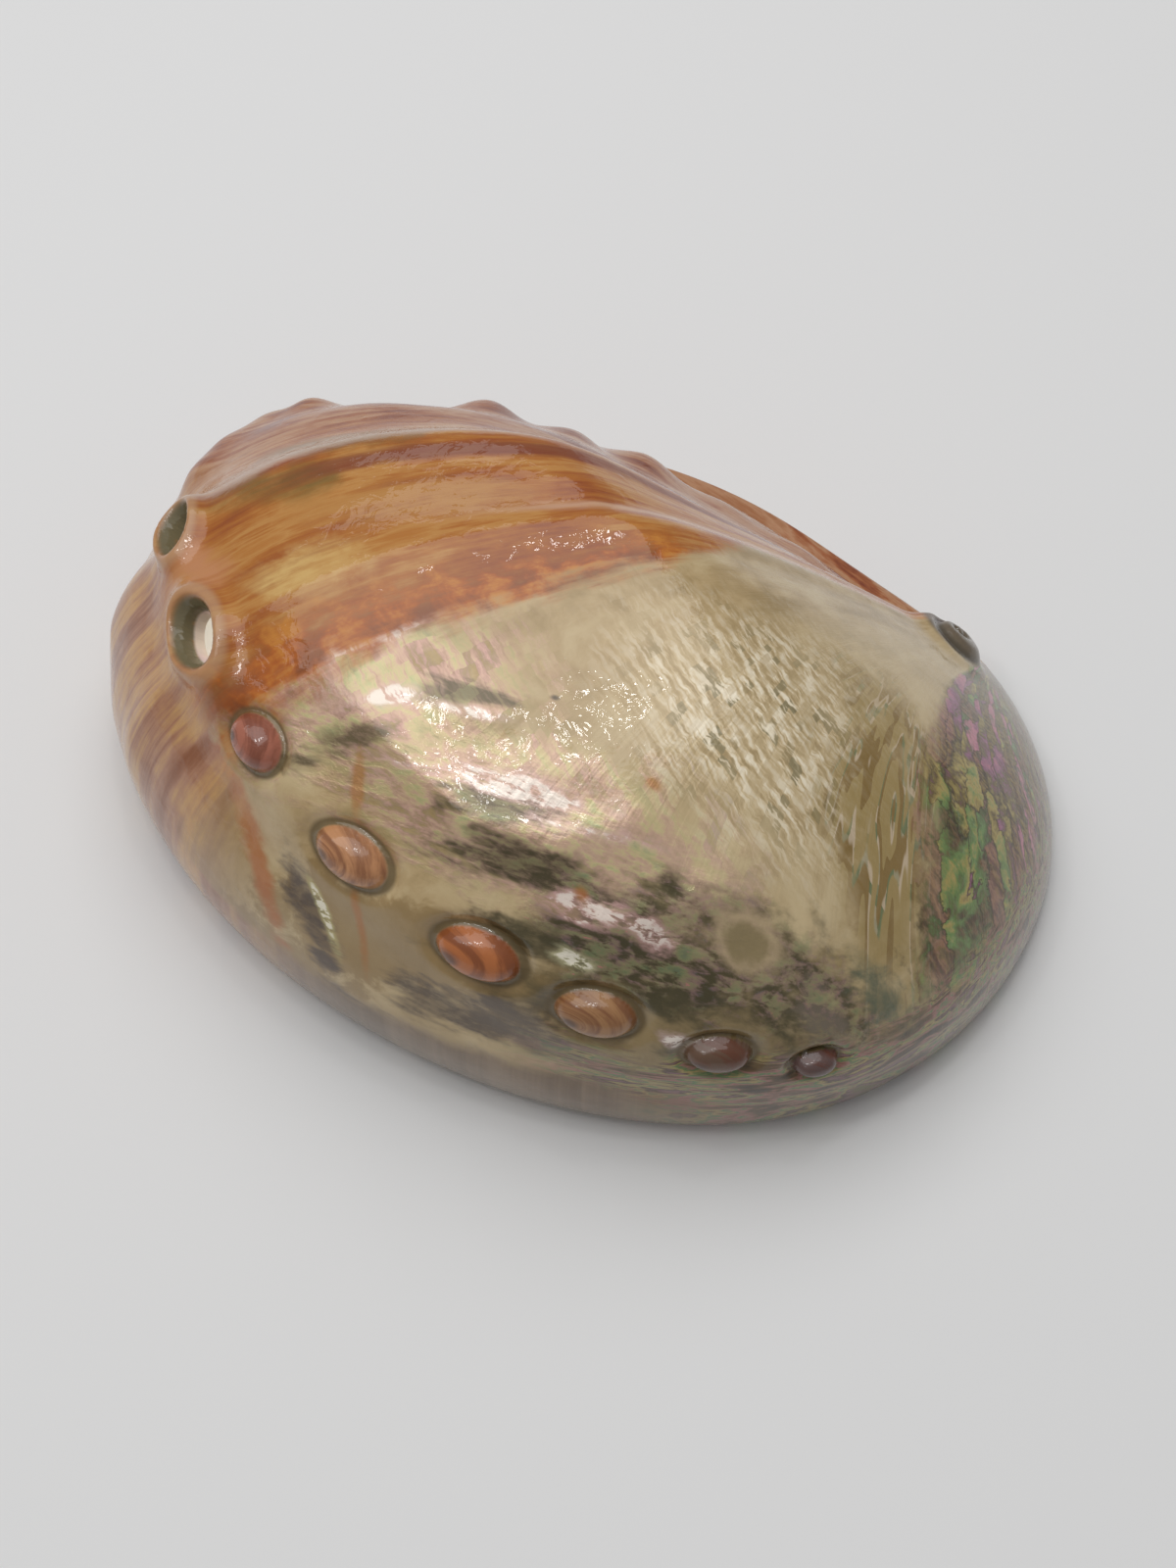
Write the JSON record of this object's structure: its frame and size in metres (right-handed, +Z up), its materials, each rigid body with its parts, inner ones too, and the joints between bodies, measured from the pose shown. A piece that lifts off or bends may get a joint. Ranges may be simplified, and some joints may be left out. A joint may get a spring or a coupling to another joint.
{
  "type": "abalone shell",
  "caption": "Polished domed abalone shell resting on its margin, with a row of holes, mostly sealed, fan folds, a small coiled spire and a hollow pearly inside.",
  "frame": {"origin": "middle of the outline in plan, on the flat margin the shell rests on", "axes": "+Z up through the dome, +X towards the end with the spire, -Y towards the flank that carries the row of holes"},
  "size_m": [0.161, 0.1209, 0.0553],
  "materials": {
    "polished_shell": "polished"
  },
  "bodies": {
    "root": {"abalone_shell": "polished_shell"}
  },
  "joints": []
}
